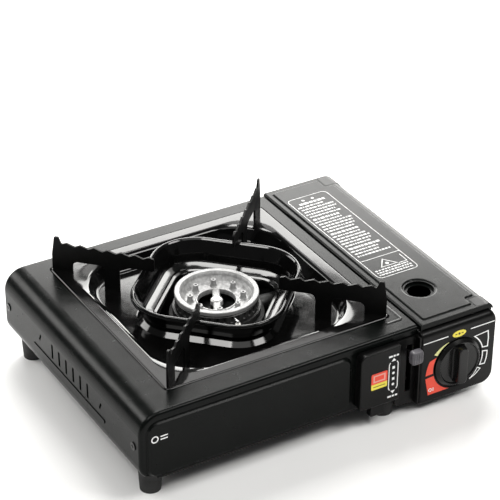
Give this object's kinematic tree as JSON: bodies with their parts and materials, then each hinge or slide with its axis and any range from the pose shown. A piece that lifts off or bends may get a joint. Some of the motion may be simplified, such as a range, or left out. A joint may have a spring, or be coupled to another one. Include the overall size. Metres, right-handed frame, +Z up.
{
  "type": "camping stove",
  "caption": "Portable tabletop gas stove with a round burner, lift-off pan support tray, hinged cartridge lid, control knob and locking lever.",
  "frame": {"origin": "on the table, under the middle of the footprint including the knob", "axes": "+X from the burner towards the cartridge side, -Y towards the cook, +Z up"},
  "size_m": [0.34, 0.2712, 0.1176],
  "materials": {
    "painted_black": "satin",
    "inner_steel": "satin",
    "enamel_black": "gloss",
    "matte_support": "matte",
    "zinc_steel": "satin",
    "black_plastic": "satin",
    "knob_plastic": "gloss",
    "grey_plastic": "satin",
    "foot_rubber": "matte",
    "seal_rubber": "matte",
    "cast_aluminium": "satin",
    "brass": "satin",
    "ceramic": "gloss",
    "electrode_steel": "satin",
    "piezo_plastic": "satin"
  },
  "bodies": {
    "stove": {"air_shutter": "zinc_steel", "base_plate": "inner_steel", "body_screws": "zinc_steel", "body_shell": "painted_black", "burner_base": "cast_aluminium", "burner_head": "cast_aluminium", "burner_screw": "zinc_steel", "burner_well": "inner_steel", "cartridge_tub": "inner_steel", "control_panel": "black_plastic", "cradle_front": "inner_steel", "cradle_rear": "inner_steel", "electrode_bracket": "inner_steel", "electrode_pin": "electrode_steel", "foot_front_left": "foot_rubber", "foot_front_right": "foot_rubber", "foot_rear_left": "foot_rubber", "foot_rear_right": "foot_rubber", "foot_screws": "zinc_steel", "front_panel": "painted_black", "gas_jet": "brass", "gas_pipe": "brass", "heat_strip": "inner_steel", "hinge_lug_front": "black_plastic", "hinge_lug_rear": "black_plastic", "hinge_pins": "zinc_steel", "ignition_lead": "seal_rubber", "lever_bracket": "inner_steel", "lever_pivot_pin": "zinc_steel", "lever_spring": "zinc_steel", "lock_bezel": "black_plastic", "mixer_tube": "cast_aluminium", "notch_guide": "brass", "partition_plate": "inner_steel", "piezo_igniter": "piezo_plastic", "pipe_nuts": "brass", "rear_panel": "painted_black", "regulator_body": "cast_aluminium", "regulator_cap": "cast_aluminium", "socket_seal": "seal_rubber", "spark_electrode": "ceramic"},
    "lid": {"cartridge_lid": "painted_black"},
    "knob": {"control_knob": "knob_plastic", "knob_shaft": "zinc_steel", "igniter_cam": "grey_plastic"},
    "lever": {"lock_lever": "zinc_steel", "lever_handle": "grey_plastic", "lever_pin": "zinc_steel"},
    "puller": {"pull_bar": "inner_steel", "pusher_plate": "inner_steel"},
    "trivet": {"drip_tray": "enamel_black", "wind_collar": "enamel_black", "support_rivets": "zinc_steel", "pan_support_rear_right": "matte_support", "pan_support_rear_left": "matte_support", "pan_support_front_left": "matte_support", "pan_support_front_right": "matte_support"}
  },
  "joints": [
    {"name": "lid_hinge", "type": "hinge", "parent": "stove", "child": "lid", "pos_m": [0.1668, 0.0076, 0.0728], "axis": [0, 1, 0], "range_deg": [0, 100]},
    {"name": "knob_turn", "type": "hinge", "parent": "stove", "child": "knob", "pos_m": [0.1315, -0.1264, 0.039], "axis": [0, -1, 0], "range_deg": [0, 120]},
    {"name": "lever_swing", "type": "hinge", "parent": "stove", "child": "lever", "pos_m": [0.0848, -0.0854, 0.046], "axis": [1, 0, 0], "range_deg": [0, 39]},
    {"name": "puller_slide", "type": "slide", "parent": "stove", "child": "puller", "axis": [0, -1, 0], "range_m": [0, 0.0107]},
    {"name": "tray_lift", "type": "slide", "parent": "stove", "child": "trivet", "axis": [0, 0, 1], "range_m": [0, 0.06]}
  ],
  "couplings": [
    {"joint": "puller_slide", "follows": "lever_swing", "m_per_rad": 0.01569}
  ]
}
